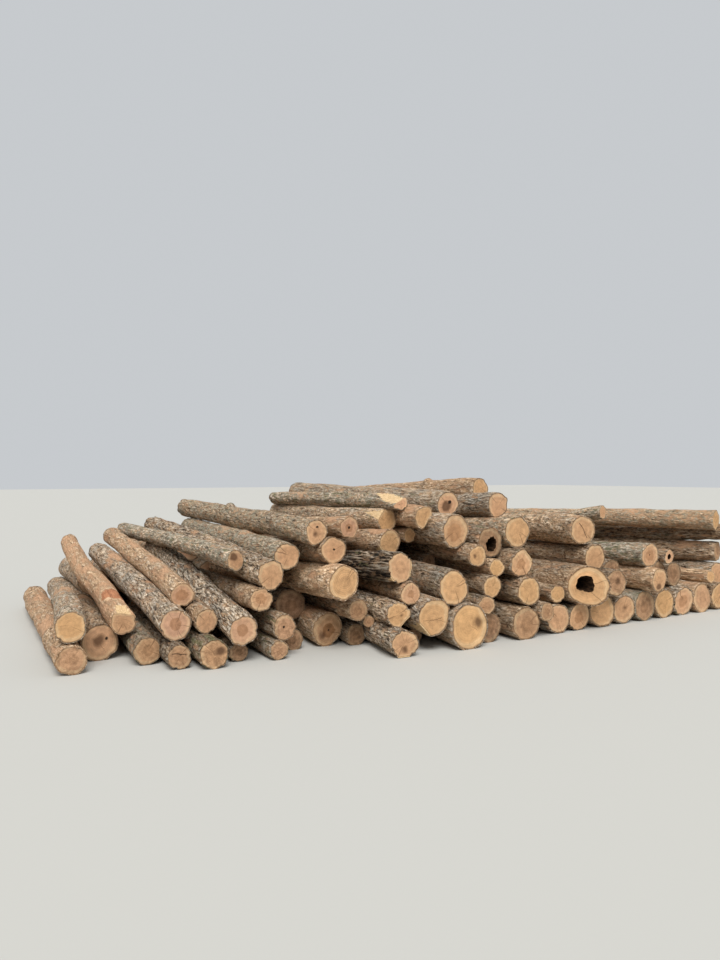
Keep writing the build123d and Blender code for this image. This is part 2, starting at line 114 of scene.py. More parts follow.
# Left to right in each course: bark, cut, and what sets the log apart. Degrees round a stem start
# at its right-hand side and go up. On the near cut: a spot or hole has its place across and up and
# its size, in radii; a crack its turn in degrees, its offset and its half width; flats are slanted
# cuts, with degrees round, share of the radius kept and length in m; a hollow has its radius and
# its depth as shares of the log's, then its place; a flare has degrees, height and reach in m.
# Patches are scuffs and a scar is bare red wood: share along, degrees round, size in m.
# A light mark raises or lowers a log's bark colour; where it is painted light or painted shade, a note stands
# above that log.
logLooks = {
    "ground_course_left": [
        ("tan", "rough", {"patches": [(0.35, 120, 0.5), (0.75, 90, 0.4)]}),
        ("brown", "tan", {"spot": (-0.08, 0.05, 0.30), "hole": (0.36, 0.12, 0.09)}),
        ("mossy", "dull", {"light": -0.08}),
        ("dark", "dull", {"crack": (172, -0.22, 0.035)}),
        ("dark", "rough", {"moss": 0.4, "spot": (0.35, 0.2, 0.28)}),
        ("dark", "dirtyAndShaded", {}),
    ],
    "ground_course_middle": [
        ("mossy", "rough", {}),
        "hidden",
        # painted light: its light mark of 0.16 brightens bark that lies in the shade of the log above
        ("brown", "rotten", {"spot": (-0.42, -0.22, 0.20), "hole": (0.0, 0.05, 0.06), "light": 0.16,
                             "patches": [(0.12, 120, 0.3)]}),
        ("dark", "dirtyAndShaded", {}),
        ("furrowed", "tan", {"spot": (0.05, -0.42, 0.22), "flats": [(270, 0.86, 0.2)]}),
        "hidden",
        ("smooth", "golden", {"spot": (0.55, 0.10, 0.22), "crook": 0.01}),
    ],
    "ground_course_right": [
        "hidden",
        ("brown", "dull", {}),
        ("grey", "tan", {}),
        ("dark", "hearted", {}),
        ("brown", "golden", {}),
        ("grey", "tan", {"spot": (0.1, 0.0, 0.12)}),
        ("lichened", "dull", {}),
        ("brown", "golden", {}),
        ("furrowed", "hearted", {}),
        ("tan", "tan", {}),
        ("brown", "golden", {"crack": (60, 0.0, 0.02)}),
        ("grey", "tan", {}),
    ],
    "second_course_left": [
        ("lichened", "golden", {"light": 0.02, "patches": [(0.8, 100, 0.4)]}),
        ("peeled", "tan", {"flats": [(80, 0.56, 0.20)], "scar": (0.150, 62, 0.30), "crook": 0.03}),
        ("grey", "pink", {"patches": [(0.24, 110, 0.12), (0.34, 80, 0.10), (0.72, 100, 0.3)], "crook": 0.02}),
        ("brown", "tan", {}),
        ("furrowed", "pink", {"light": 0.03, "patches": [(0.55, 100, 0.12)]}),
    ],
    "second_course_middle": [
        ("mossy", "rough", {"hole": (-0.12, 0.1, 0.1)}),
        "hidden",
        ("brown", "dull", {}),
        ("dark", "dull", {}),
        ("furrowed", "golden", {"flats": [(-48, 0.84, 0.3)], "spot": (0.32, -0.12, 0.10), "warm": 0.15,
                                "light": 0.10}),
        ("grey", "golden", {"flats": [(222, 0.85, 0.3)], "crack": (185, 0.05, 0.012)}),
        ("dark", "dull", {"glow": 0.12}),
    ],
    "second_course_right": [
        ("brown", "golden", {"light": -0.06}),
        ("brown", "dull", {}),
        ("brown", "golden", {}),
        ("dark", "rough", {"spot": (0.1, 0.1, 0.25)}),
        "hidden",
        ("tan", "tan", {"spot": (-0.05, -0.5, 0.3)}),
        "hidden",
        "hidden",
        ("tan", "golden", {}),
        ("grey", "tan", {}),
    ],
    "hollow_log": [
        ("brown", "golden", {"hollow": (0.36, 0.34, -0.12, 0.06), "ragged": 0.22, "light": -0.03,
                             "flares": [(-30, 0.09, 0.35)], "slant": 24}),
    ],
    "third_course_left": [
        ("tan", "pink", {"patches": [(0.16, 120, 0.16), (0.34, 90, 0.24), (0.62, 100, 0.25)], "crook": 0.02}),
        ("lichened", "tan", {"spot": (-0.30, 0.35, 0.40), "glow": -0.08, "crook": 0.04, "moss": 0.15}),
        ("brown", "hearted", {"light": 0.03}),
        ("furrowed", "tan", {"warm": 0.20, "patches": [(0.55, 95, 0.12)], "glow": -0.03}),
    ],
    "third_course_middle": [
        # painted light: its light mark of 0.18 brightens bark that is partly in shade
        ("tan", "golden", {"ringed": 1.0, "patches": [(0.12, 160, 0.14)], "light": 0.18, "crook": 0.02}),
        ("brown", "tan", {"hole": (0.0, 0.02, 0.09)}),
        "hidden",
        ("ridged", "tan", {"flats": [(-6, 0.88, 0.10), (225, 0.93, 0.1)], "glow": 0.03, "lumps": 1.6}),
        ("brown", "hearted", {"heartSize": 0.7}),
        "hidden",
        # painted shade: its light mark of -0.22 darkens bark that the key light reaches from above
        ("grey", "golden", {"light": -0.22, "warm": 0.15, "lumps": 0.6}),
        "hidden",
        "hidden",
        ("brown", "golden", {"light": -0.05}),
    ],
    "third_course_right": [
        ("tan", "golden", {"patches": [(0.2, 90, 0.2)]}),
        ("brown", "hearted", {"flats": [(38, 0.80, 0.10)], "light": -0.04}),
        ("brown", "tan", {"light": -0.02}),
        ("lichened", "hearted", {"hole": (-0.02, 0.02, 0.06), "moss": 0.25, "crook": 0.03}),
        "hidden",
        ("mossy", "pale", {"hollow": (0.34, 0.10, 0.0, 0.0), "ragged": 0.10}),
    ],
    "crossing_logs": [
        ("tan", "golden", {"light": -0.02, "lichen": 0.45, "crook": 0.02,
                           "patches": [(0.04, 80, 0.25), (0.3, 110, 0.3)]}),
        ("grey", "dull", {"warm": 0.3, "patches": [(0.1, 120, 0.3)]}),
        ("dark", "dull", {}),
    ],
    "upper_course_left": [
        ("lichened", "pale", {"heartSize": 1.1, "glow": -0.03, "light": -0.06, "warm": 0.15,
                              "patches": [(0.35, 95, 0.2), (0.55, 110, 0.25)]}),
        ("lichened", "tan", {"hole": (0.03, 0.42, 0.10), "spot": (-0.12, -0.12, 0.20), "warm": 0.25,
                             "light": -0.07, "crook": 0.02}),
        ("tan", "pink", {"hole": (-0.02, 0.04, 0.13), "patches": [(0.06, 120, 0.2)]}),
    ],
    "upper_course_middle": [
        ("tan", "golden", {"flats": [(222, 0.86, 0.12)], "glow": -0.04,
                           "patches": [(0.05, 100, 0.3), (0.2, 70, 0.2)]}),
        ("lichened", "golden", {"flats": [(148, 0.78, 0.4)], "warm": 0.25, "glow": -0.05,
                                "patches": [(0.15, 60, 0.2)]}),
        ("tan", "golden", {"flats": [(-34, 0.45, 0.34)], "glow": -0.02, "patches": [(0.08, 100, 0.3)]}),
        ("tan", "golden", {}),
        ("smooth", "hearted", {"heartSize": 1.15, "light": 0.04}),
        ("brown", "golden", {"spot": (-0.25, 0.05, 0.18), "patches": [(0.10, 140, 0.16)], "crook": 0.03}),
        # its dark bark and cut are painted shade, for an end that lies in shadow
        ("dark", "dirtyAndShaded", {"hollow": (0.42, 0.16, 0.12, -0.18), "ragged": 0.20,
                           "patches": [(0.0, 60, 0.08)]}),
    ],
    "upper_course_right": [
        ("lichened", "golden", {"warm": 0.30, "patches": [(0.12, 80, 0.2), (0.35, 60, 0.3)], "light": -0.02}),
        # painted light: its light mark of 0.20 brightens bark whose lower part lies in shade
        ("brown", "tan", {"crack": (120, 0.0, 0.028), "light": 0.20, "lichen": 0.3, "crook": 0.02}),
    ],
    "leaning_log": [
        ("lichened", "pale", {"patches": [(0.3, 90, 0.4), (0.6, 100, 0.3)], "moss": 0.15, "crook": 0.04}),
    ],
    "top_logs": [
        ("lichened", "pale", {"flats": [(118, 0.10, 0.55)], "patches": [(0.72, 100, 0.45), (0.10, 60, 0.2)],
                              "moss": 0.3, "crook": 0.03, "hole": (-0.1, -0.25, 0.07)}),
        ("smooth", "pale", {"spot": (-0.05, -0.10, 0.42), "hole": (0.22, 0.22, 0.15), "lichen": 0.2}),
        ("grey", "pale", {"light": -0.08, "glow": -0.06}),
        ("tan", "golden", {"glow": 0.02}),
    ],
}
relief = {
    "broadLump": 0.045,     # broad swellings of the stem, as a share of its radius
    "broadWidth": 1.1,      # their width round it, in radii
    "lump": 0.009,          # m, smaller ones
    "lumpLength": 0.60,
    "finer": 0.45,          # how much smaller the second layer of a noise is
    "crook": 0.018,         # m, waver of its axis
    "crookLength": 1.3,
    "furrowWidth": 0.060,   # m round the stem
    "furrowLength": 0.24,
    "furrowShare": 0.85,    # how much of a bark's furrow the mesh shows, the rest is bump
    "wander": 0.03,         # m that furrows wander
    "wanderLength": 0.17,
    "knotHeight": 0.026,
    "knotWidth": 0.070,
    "stubWidth": 0.075,
    "cutTilt": 3.0,         # degrees that a saw cut is out of square
    "cutReach": 0.08,       # m behind a cut that lean with it
    "cutRough": 0.003,      # m, unevenness of a saw cut
    "cutWave": 0.12,
    "slantReach": 0.6,      # m behind a cut far out of square over which its slant dies away
    "splitRough": 0.012,    # m, unevenness of a slanted cut
    "splitWave": 0.09,
    "chip": 0.010,          # m of bark knocked off at a cut's edge
    "chipReach": 0.12,
    "rimWaver": 0.018,      # waver of the line between bark and wood, as a share of the radius
    "grainStep": 7.0,       # m from one log's grain to the next, so that no two look alike
}
sections = {                # how a frame's stem is read
    "points": 18,           # round each of its sections
    "gap": 0.0005,          # m between two sections at least
    "stubRise": 0.035,      # m that a stub of a branch stands out at least
    "stubPoints": 6,        # that show a stub
    "stubSpan": 0.25,       # m along the stem that belong to one stub
}


# Noise and the frame's stems

def columns(*values):
    # an array with these values side by side, single numbers repeated
    return np.stack(np.broadcast_arrays(*values), axis=-1)


def apart(angle, turn):
    # how far round the stem two directions are from each other, from -pi to pi
    return np.angle(np.exp(1j * (angle - turn)))


def valueNoise(points, seed):
    # smooth noise from -1 to 1 at an array of points, one unit between its knots, whose values
    # come from mixing up the bits of their coordinates
    cell = np.floor(points)
    inside = points - cell
    cell = cell.astype(np.int64)
    ease = inside * inside * (3 - 2 * inside)
    total = np.zeros(len(points))
    for corner in range(8):
        step = np.array([corner & 1, corner >> 1 & 1, corner >> 2 & 1])
        key = (cell + step) @ np.array([73856093, 19349663, 83492791]) + seed * 2654435761
        key = (key ^ (key >> 15)) & 0x7FFFFFFF
        key = (key * 1103515245 + 12345) & 0x7FFFFFFF
        key = (key ^ (key >> 13)) & 0xFFFF
        weight = np.prod(np.where(step, ease, 1 - ease), axis=1)
        total += weight * (key / 32767.5 - 1)
    return total


def readStems(node):
    # the logs of a course, left to right, as their sections between the two saw cuts
    bm = bmesh.new()
    bm.from_mesh(nodes[node].data)
    bmesh.ops.remove_doubles(bm, verts=bm.verts, dist=1e-5)
    bm.normal_update()
    seen = set()
    stems = []
    for first in bm.verts:
        if first in seen:
            continue
        island = [first]
        seen.add(first)
        for vert in island:
            for edge in vert.link_edges:
                other = edge.other_vert(vert)
                if other not in seen:
                    seen.add(other)
                    island.append(other)
        faces = {face for vert in island for face in vert.link_faces}
        upright = [face for face in faces if abs(face.normal.z) < 1e-3]
        heading = max(upright, key=lambda face: face.calc_area()).normal.copy()
        heading.z = 0
        heading.normalize()
        if heading.y < 0:
            heading.negate()
        stems.append(readStem(np.array([vert.co for vert in island]), np.array(heading)))
    bm.free()
    return sorted(stems, key=lambda stem: stem["centres"][0][0])


def readStem(points, heading):
    aside = np.array([heading[1], -heading[0], 0.0])
    run = points @ heading
    order = np.argsort(run)
    groups = np.split(order, np.flatnonzero(np.diff(run[order]) > sections["gap"]) + 1)
    rings = []
    for group in groups:
        if len(group) < sections["points"]:
            continue
        ring = points[group]
        reach = np.linalg.norm(ring - ring.mean(0), axis=1)
        if rings and reach.max() < 0.6 * rings[0]["radius"]:
            continue                                   # the inner end of a hollow
        ring = ring[np.argsort(-reach)[:sections["points"]]]
        middle = ring.mean(0)
        reach = np.linalg.norm(ring - middle, axis=1)
        angle = np.arctan2((ring - middle)[:, 2], (ring - middle) @ aside)
        rings.append({"centre": middle, "radius": reach.mean(), "run": run[group].mean(),
                      "angle": angle, "reach": reach})
    near, far = rings[0], rings[-1]
    length = far["run"] - near["run"]
    shares = np.array([(ring["run"] - near["run"]) / length for ring in rings])
    centres = np.array([ring["centre"] for ring in rings])
    # the oval of the near section, as waves round the stem
    waves = [np.ones(sections["points"])]
    for turns in (2, 3):
        waves += [np.cos(turns * near["angle"]), np.sin(turns * near["angle"])]
    oval = np.linalg.lstsq(np.array(waves).T, near["reach"] / near["radius"], rcond=None)[0]
    stem = {"heading": heading, "aside": aside, "length": length, "shares": shares, "centres": centres,
            "radii": (near["radius"], far["radius"]), "oval": oval, "stubs": []}
    # a stub of a branch is what stands out from the stem
    along = (run - near["run"]) / length
    path = np.array([np.interp(along, shares, centres[:, axis]) for axis in range(3)]).T
    out = points - path
    beyond = np.linalg.norm(out, axis=1) - np.interp(along, (0, 1), stem["radii"])
    tip = beyond > sections["stubRise"]
    if tip.sum() >= sections["stubPoints"]:
        place = along[tip] * length
        fromMiddle = place - place.mean()
        span = sections["stubSpan"]
        for stub in (fromMiddle < -span, fromMiddle > span, np.abs(fromMiddle) <= span):
            if stub.sum() >= sections["stubPoints"]:
                middle = out[tip][stub].mean(0)
                turn = math.atan2(middle[2], middle @ aside)
                stem["stubs"].append((place[stub].mean(), turn, beyond[tip][stub].max()))
    return stem


def closeCut(bm, end, hollow):
    # close one end of the unit stem with the loops of its saw cut; a hollow runs on inwards
    rim = [edge for edge in bm.edges if edge.is_boundary
           and all(abs(vert.co.z - end) < 1e-6 for vert in edge.verts)]
    steps = [(share, end, cutSlot) for share in stemMesh["cutRings"]]   # share of the radius, place, material
    if hollow:
        mouth, depth = hollow[:2]
        steps = [step for step in steps if step[0] > mouth * 1.3]
        steps.append((mouth * 1.12, end, cutSlot))
        for narrowed, inwards in ((1.0, 0.02), (0.94, 0.1), (0.88, 0.3), (0.7, 0.7), (0.5, 1.0)):
            steps.append((mouth * narrowed, depth * inwards, rotAndShadeSlot))
    level = 1.0
    for number, (share, place, slot) in enumerate(steps):
        grown = bmesh.ops.extrude_edge_only(bm, edges=rim)["geom"]
        verts = [item for item in grown if isinstance(item, bmesh.types.BMVert)]
        fresh = set(verts)
        rim = [item for item in grown if isinstance(item, bmesh.types.BMEdge) and set(item.verts) <= fresh]
        for face in (item for item in grown if isinstance(item, bmesh.types.BMFace)):
            face.material_index = barkSlot if number == 0 else slot
            face.smooth = slot == rotAndShadeSlot
        bmesh.ops.scale(bm, vec=(share / level, share / level, 1), verts=verts)
        for vert in verts:
            vert.co.z = place
        level = share
    before = set(bm.faces)
    bmesh.ops.edgeloop_fill(bm, edges=rim)
    cap = [face for face in bm.faces if face not in before]
    for face in bmesh.ops.poke(bm, faces=cap)["faces"]:
        face.material_index = steps[-1][2]
        face.smooth = False


def unitStem(around, along, hollow=None):
    # a stem of radius 1 and length 1 on z, from a grid rolled round its axis
    bm = bmesh.new()
    bmesh.ops.create_grid(bm, x_segments=along, y_segments=around, size=1)
    for vert in bm.verts:
        angle = (vert.co.y + 1) * math.pi
        vert.co = Vector((math.cos(angle), math.sin(angle), (vert.co.x + 1) / 2))
    for face in bm.faces:
        face.smooth = True
    bmesh.ops.remove_doubles(bm, verts=bm.verts, dist=1e-6)
    closeCut(bm, 0, hollow)
    closeCut(bm, 1, None)
    bmesh.ops.recalc_face_normals(bm, faces=bm.faces)
    bmesh.ops.reverse_faces(bm, faces=bm.faces)   # placing a stem mirrors it, which turns them outwards
    mesh = bpy.data.meshes.new("unitStem")
    bm.to_mesh(mesh)
    bm.free()
    return mesh


def shapeStem(unit, stem, bark, marks, seed):
    # place the unit stem on its log: taper, lumps, furrows, knots, stubs, slanted cuts, crook
    rng = np.random.default_rng(seed)
    share = np.clip(unit[:, 2], 0, 1)
    level = np.hypot(unit[:, 0], unit[:, 1])
    angle = np.arctan2(unit[:, 1], unit[:, 0])
    across = np.cos(angle)
    up = np.sin(angle)
    length = stem["length"]
    nearRadius, farRadius = stem["radii"]
    radius = nearRadius + (farRadius - nearRadius) * share
    oval = stem["oval"]
    outline = oval[0] + oval[1] * np.cos(2 * angle) + oval[2] * np.sin(2 * angle)
    outline += oval[3] * np.cos(3 * angle) + oval[4] * np.sin(3 * angle)
    run = share * length
    onSkin = columns(across * radius, up * radius, run)

    lumps = marks.get("lumps", 1.0)
    wide = np.array([relief["broadWidth"] * nearRadius] * 2 + [relief["lumpLength"]])
    swell = relief["broadLump"] * radius * lumps * valueNoise(onSkin / wide, seed)
    swell += relief["lump"] * lumps * valueNoise(onSkin / (relief["finer"] * wide), seed + 1)
    wander = [valueNoise(onSkin / relief["wanderLength"], seed + number) for number in (2, 3, 4)]
    wandered = onSkin + relief["wander"] * columns(*wander)
    furrow = np.array([relief["furrowWidth"], relief["furrowWidth"], relief["furrowLength"]])
    ridge = 1 - 2 * np.abs(valueNoise(wandered / furrow, seed + 5))
    ridge += 0.5 * valueNoise(wandered / (relief["finer"] * furrow), seed + 6)
    swell += bark["furrow"] / 1000 * relief["furrowShare"] * (0.55 - ridge)
    for knot in range(int(rng.integers(2, 6))):
        place, turn = rng.uniform(0.05, 0.95) * length, rng.uniform(-math.pi, math.pi)
        away = np.hypot((run - place) / 1.3, radius * apart(angle, turn))
        swell += rng.uniform(0.3, 1) * relief["knotHeight"] * np.exp(-(away / relief["knotWidth"]) ** 2)
    for place, turn, height in stem["stubs"]:
        away = np.hypot(run - place, radius * apart(angle, turn))
        swell += height * np.exp(-(away / relief["stubWidth"]) ** 4)
    # bark knocked off in places, where the saw or rough handling caught its edge
    for end in (0, 1):
        edge = np.clip(1 - np.abs(run - end * length) / relief["chipReach"], 0, 1)
        chipped = valueNoise(columns(3 * across, 3 * up, run / 0.1), seed + 9 + end)
        swell -= relief["chip"] * edge * np.clip(5 * (chipped - 0.2), 0, 1)
    full = radius * outline + swell

    for turn, height, reach in marks.get("flares", ()):
        facing = np.clip(np.cos(angle - math.radians(turn)), 0, 1)
        full += height * facing ** 2 * np.exp(-(run / reach) ** 2)
    split = np.zeros(len(unit))
    for turn, keep, slope in marks.get("flats", ()):
        facing = np.cos(angle - math.radians(turn))
        limit = radius * (keep + (1 - keep) * run / slope)
        limit += relief["splitRough"] * valueNoise(onSkin / relief["splitWave"], seed + 12)
        cut = (facing > 0.05) & (facing * full > limit)
        full = np.where(cut, limit / np.maximum(facing, 0.05), full)
        split = np.maximum(split, cut)
    # the hollow's mouth is no circle and lies off the pith
    side = np.zeros((len(unit), 2))
    if "hollow" in marks:
        mouth = marks["hollow"][0] * 1.35
        within = np.clip((mouth - level) / (0.3 * mouth) + 0.35, 0, 1) * (share < 0.5) * (level < 0.93)
        wave = valueNoise(columns(1.3 * across, 1.3 * up, seed * 1.7), seed + 13)
        wave += 0.4 * valueNoise(columns(4 * across, 4 * up, run / 0.15), seed + 14)
        level = level * (1 + within * marks["ragged"] * wave * 1.6)
        side = np.outer(within * radius, marks["hollow"][2:])
    rim = np.clip(1 - np.abs(level - stemMesh["cutRings"][0]) / 0.04, 0, 1)
    waver = valueNoise(columns(4 * across, 4 * up, share * 9), seed + 15)
    level = level * (1 + relief["rimWaver"] * rim * waver)

    degree = len(stem["shares"]) - 1
    curves = [np.polyfit(stem["shares"], stem["centres"][:, k], degree) for k in range(3)]
    axis = columns(*(np.polyval(curve, share) for curve in curves))
    along = columns(run / relief["crookLength"], seed * 0.37, 0.0)
    crook = marks.get("crook", relief["crook"])
    axis += crook * np.outer(valueNoise(along, seed + 7), stem["aside"])
    axis[:, 2] += 0.6 * min(crook, 0.02) * valueNoise(along, seed + 8)
    out = full * level
    points = axis + np.outer(out * across + side[:, 0], stem["aside"])
    points[:, 2] += out * up + side[:, 1]
    # the cuts lean a little out of square and are not quite flat
    for end in (0, 1):
        lean = np.tan(np.radians(rng.uniform(-1, 1, 2) * relief["cutTilt"]))
        near = np.clip(1 - np.abs(run - end * length) / relief["cutReach"], 0, 1)
        push = near * (lean[0] * out * across + lean[1] * out * up)
        push += near * relief["cutRough"] * valueNoise(onSkin * level[:, None] / relief["cutWave"], seed + 16)
        points += np.outer(push, stem["heading"])
    # a cut far out of square: its right-hand side comes forward
    slant = math.tan(math.radians(marks.get("slant", 0)))
    fading = np.clip(1 - run / relief["slantReach"], 0, 1)
    points -= np.outer(fading * slant * out * across, stem["heading"])
    grain = columns(out * across, out * up, run + relief["grainStep"] * seed)
    return points, grain, level, angle, run, split


def colourFields(bark, cut, marks, seed, level, angle, run, length):
    # what the materials read at each point of a stem
    rng = np.random.default_rng(seed + 900)
    count = len(level)
    lichen = bark["lichen"] * rng.uniform(0.6, 1.2) + marks.get("lichen", 0)
    light = bark["light"] + marks.get("light", 0) + rng.uniform(-0.03, 0.03)
    warm = bark["warm"] + marks.get("warm", 0)
    glow = cut["light"] + marks.get("glow", 0) + rng.uniform(-0.03, 0.03)
    yellow = cut["yellow"] + rng.uniform(-0.1, 0.1)
    pith = rng.uniform(-0.10, 0.10, 2)
    heartSize = marks.get("heartSize", rng.uniform(0.8, 1.05))
    scuff = np.full(count, bark["scuff"])
    for place, turn, size in marks.get("patches", ()):
        around = 0.2 * apart(angle, math.radians(turn))
        away = np.hypot((run - place * length) / size, around / (0.6 * size))
        scuff = np.maximum(scuff, 1.5 * np.exp(-away ** 2))
    scar = np.zeros(count)
    if "scar" in marks:
        place, turn, size = marks["scar"]
        away = np.hypot(run - place * length, 0.17 * apart(angle, math.radians(turn)))
        scar = np.clip(1.25 - away / size, 0, 1)
    fields = {
        "barkWear": columns(scuff, lichen, bark["moss"] + marks.get("moss", 0)),
        "barkTone": np.tile((light, warm, bark["furrow"] / 15), (count, 1)),
        "cutLook": np.tile((glow, yellow, cut["heart"]), (count, 1)),
        "cutStain": columns(cut["stain"], level, scar),
        "cutDisc": columns(level * np.cos(angle) + pith[0], level * np.sin(angle) + pith[1], 3.0 * seed),
        "cutRings": np.tile((marks.get("ringed", 0.45), heartSize, 0.0), (count, 1)),
    }
    near = run < 0.5 * length
    absent = (0.0, 0.0, -1.0)
    for key, mark in (("cutSpot", "spot"), ("cutHolePaintedShade", "hole"), ("cutCrack", "crack")):
        fields[key] = np.where(near[:, None], marks.get(mark, absent), absent)
    return fields


# Materials

def linear(code):
    channels = [int(code[k:k + 2], 16) / 255 for k in (1, 3, 5)]
    return tuple(c / 12.92 if c <= 0.04045 else ((c + 0.055) / 1.055) ** 2.4 for c in channels) + (1.0,)


def perMetre(widthMm, lengthMm):
    # what metres are multiplied by for a pattern this wide across the grain and this long along it
    return (1000 / widthMm, 1000 / widthMm, 1000 / lengthMm)


def addNode(tree, kind, links=None, stops=None, **settings):
    # a shader node with its settings, its ramp's stops, and each input linked or set
    node = tree.nodes.new("ShaderNode" + kind)
    for name, value in settings.items():
        setattr(node, name, value)
    while stops and len(node.color_ramp.elements) < len(stops):
        node.color_ramp.elements.new(0.5)
    for (place, colour), element in zip(stops or (), node.color_ramp.elements if stops else ()):
        element.position = place
        element.color = linear(colour)
    for key, value in (links or {}).items():
        if isinstance(value, bpy.types.NodeSocket):
            tree.links.new(value, node.inputs[key])
        else:
            node.inputs[key].default_value = value
    return node.outputs


def newMaterial(name, roughness, specular):
    material = bpy.data.materials.new(name)
    material.use_nodes = True
    tree = material.node_tree
    shader = tree.nodes["Principled BSDF"]
    shader.inputs["IOR"].default_value = 1.5
    shader.inputs["Roughness"].default_value = roughness
    shader.inputs["Specular IOR Level"].default_value = specular
    return material, tree, shader


barkPatterns = {
    # width across the stem and length along it in mm, detail, roughness, and whether its grain wanders
    "broadFurrows": (58, 250, 1.5, 0.45, True),
    "fineFurrows": (26, 95, 2.0, 0.50, True),
    "streaks": (34, 120, 3.0, 0.60, True),
    "grit": (15, 42, 4.0, 0.70, True),
    "longRidges": (33, 420, 3.0, 0.50, False),
    "fading": (110, 240, 2.0, 0.50, False),
    "tone": (210, 420, 5.0, 0.60, False),
    "flakes": (60, 130, 5.0, 0.65, True),
    "tears": (85, 300, 6.0, 0.66, True),
    "fibres": (12, 110, 5.0, 0.65, True),
    "crusts": (55, 75, 6.0, 0.68, False),
}
smooth = {"interpolation_type": "SMOOTHSTEP"}


def hardwoodBark():
    # air-dried bark of mixed hardwoods: interlaced ridges along the stem, grey where it has
    # weathered, tan where flakes have come off, pinkish inner bark where loading scuffed it,
    # crusts of pale lichen and some moss
    material, tree, shader = newMaterial("weathered hardwood bark", 0.93, 0.2)
    grain = addNode(tree, "Attribute", attribute_name="stemGrain")["Vector"]
    wear, tone, stain = (
        addNode(tree, "SeparateXYZ", {0: addNode(tree, "Attribute", attribute_name=name)["Vector"]})
        for name in ("barkWear", "barkTone", "cutStain"))
    place = addNode(tree, "VectorMath", {0: grain, 1: perMetre(130, 300)}, operation="MULTIPLY")[0]
    drift = addNode(tree, "TexNoise", {"Vector": place, "Scale": 1.0, "Detail": 3.0})["Color"]
    bend = (0.06, 0.06, 0.10)   # m that the grain wanders
    bent = addNode(tree, "VectorMath", {0: drift, 1: bend, 2: grain}, operation="MULTIPLY_ADD")[0]
    pattern = {}
    for name, (width, length, detail, roughness, wanders) in barkPatterns.items():
        scaled = {0: bent if wanders else grain, 1: perMetre(width, length)}
        place = addNode(tree, "VectorMath", scaled, operation="MULTIPLY")[0]
        pattern[name] = addNode(tree, "TexNoise", {"Vector": place, "Scale": 1.0, "Detail": detail,
                                                   "Roughness": roughness})["Fac"]
    pattern["longRidges"].node.inputs["Distortion"].default_value = 0.4
    # a furrow runs where its noise crosses the middle value, with a ridge on each side
    ridges = {}
    for name, low, high in (("broadFurrows", 0.005, 0.075), ("fineFurrows", 0.0, 0.13)):
        away = addNode(tree, "Math", {0: pattern[name], 1: 0.5}, operation="SUBTRACT")[0]
        away = addNode(tree, "Math", {0: away}, operation="ABSOLUTE")[0]
        ridges[name] = addNode(tree, "MapRange", {0: away, 1: low, 2: high}, **smooth)[0]
    # the broad furrows fade in and out, and streaks and grit break up the ridges
    fading = addNode(tree, "MapRange", {0: pattern["fading"], 1: 0.38, 2: 0.62}, **smooth)[0]
    broadRidge = addNode(tree, "Mix", {0: fading, 2: 0.85, 3: ridges["broadFurrows"]})[0]
    streaks = addNode(tree, "Math", {0: pattern["streaks"], 1: 3.6, 2: -1.3}, operation="MULTIPLY_ADD")[0]
    grit = addNode(tree, "Math", {0: pattern["grit"], 1: 2.2, 2: -0.6}, operation="MULTIPLY_ADD")[0]
    height = 0.0
    for layer, share in ((broadRidge, 0.26), (ridges["fineFurrows"], 0.14), (streaks, 0.32), (grit, 0.28)):
        height = addNode(tree, "Math", {0: layer, 1: share, 2: height}, operation="MULTIPLY_ADD")[0]
    # a smooth bark shows little of its furrows
    depth = addNode(tree, "Math", {0: tone[2], 1: 0.65, 2: 0.44}, operation="MULTIPLY_ADD", use_clamp=True)[0]
    shown = addNode(tree, "Mix", {0: depth, 2: 0.60, 3: height})[0]
    # the coarsest bark has long narrow ridges with black furrows between them
    long = addNode(tree, "Math", {0: pattern["longRidges"], 1: 3.6, 2: -1.35}, operation="MULTIPLY_ADD")[0]
    coarsest = addNode(tree, "MapRange", {0: tone[2], 1: 1.05, 2: 1.25, 4: 0.75})[0]
    shown = addNode(tree, "Mix", {0: coarsest, 2: shown, 3: long})[0]
    grey = addNode(tree, "ValToRGB", {0: shown}, stops=(
        (0.20, "#1A1511"), (0.39, "#514840"), (0.57, "#948978"), (0.76, "#DDD5C7")))[0]
    tan = addNode(tree, "ValToRGB", {0: shown}, stops=(
        (0.20, "#1E130C"), (0.39, "#5E4834"), (0.57, "#A68869"), (0.76, "#E4CAAA")))[0]
    warm = addNode(tree, "Math", {0: pattern["tone"], 1: 1.8, 2: -0.78}, operation="MULTIPLY_ADD")[0]
    warm = addNode(tree, "Math", {0: warm, 1: tone[1]}, operation="ADD", use_clamp=True)[0]
    colour = addNode(tree, "Mix", {0: warm, 6: grey, 7: tan}, data_type="RGBA")[2]
    # flakes of the outer bark have come off and show paler, warmer bark
    flaked = addNode(tree, "Math", {0: tone[1], 1: 0.10, 2: pattern["flakes"]}, operation="MULTIPLY_ADD")[0]
    flaked = addNode(tree, "MapRange", {0: flaked, 1: 0.565, 2: 0.645, 4: 0.75}, **smooth)[0]
    flake = addNode(tree, "ValToRGB", {0: pattern["grit"]}, stops=(
        (0.28, "#86674D"), (0.50, "#BA9672"), (0.72, "#E0C6A5")))[0]
    colour = addNode(tree, "Mix", {0: flaked, 6: colour, 7: flake}, data_type="RGBA")[2]
    lift = addNode(tree, "Math", {0: pattern["tone"], 1: 1.1, 2: -0.47}, operation="MULTIPLY_ADD")[0]
    lift = addNode(tree, "Math", {0: tone[0], 1: 2.0, 2: lift}, operation="MULTIPLY_ADD")[0]
    lift = addNode(tree, "CombineColor", {0: lift, 1: lift, 2: lift})[0]
    colour = addNode(tree, "Mix", {0: 1.0, 6: colour, 7: lift}, data_type="RGBA", blend_type="MULTIPLY")[2]
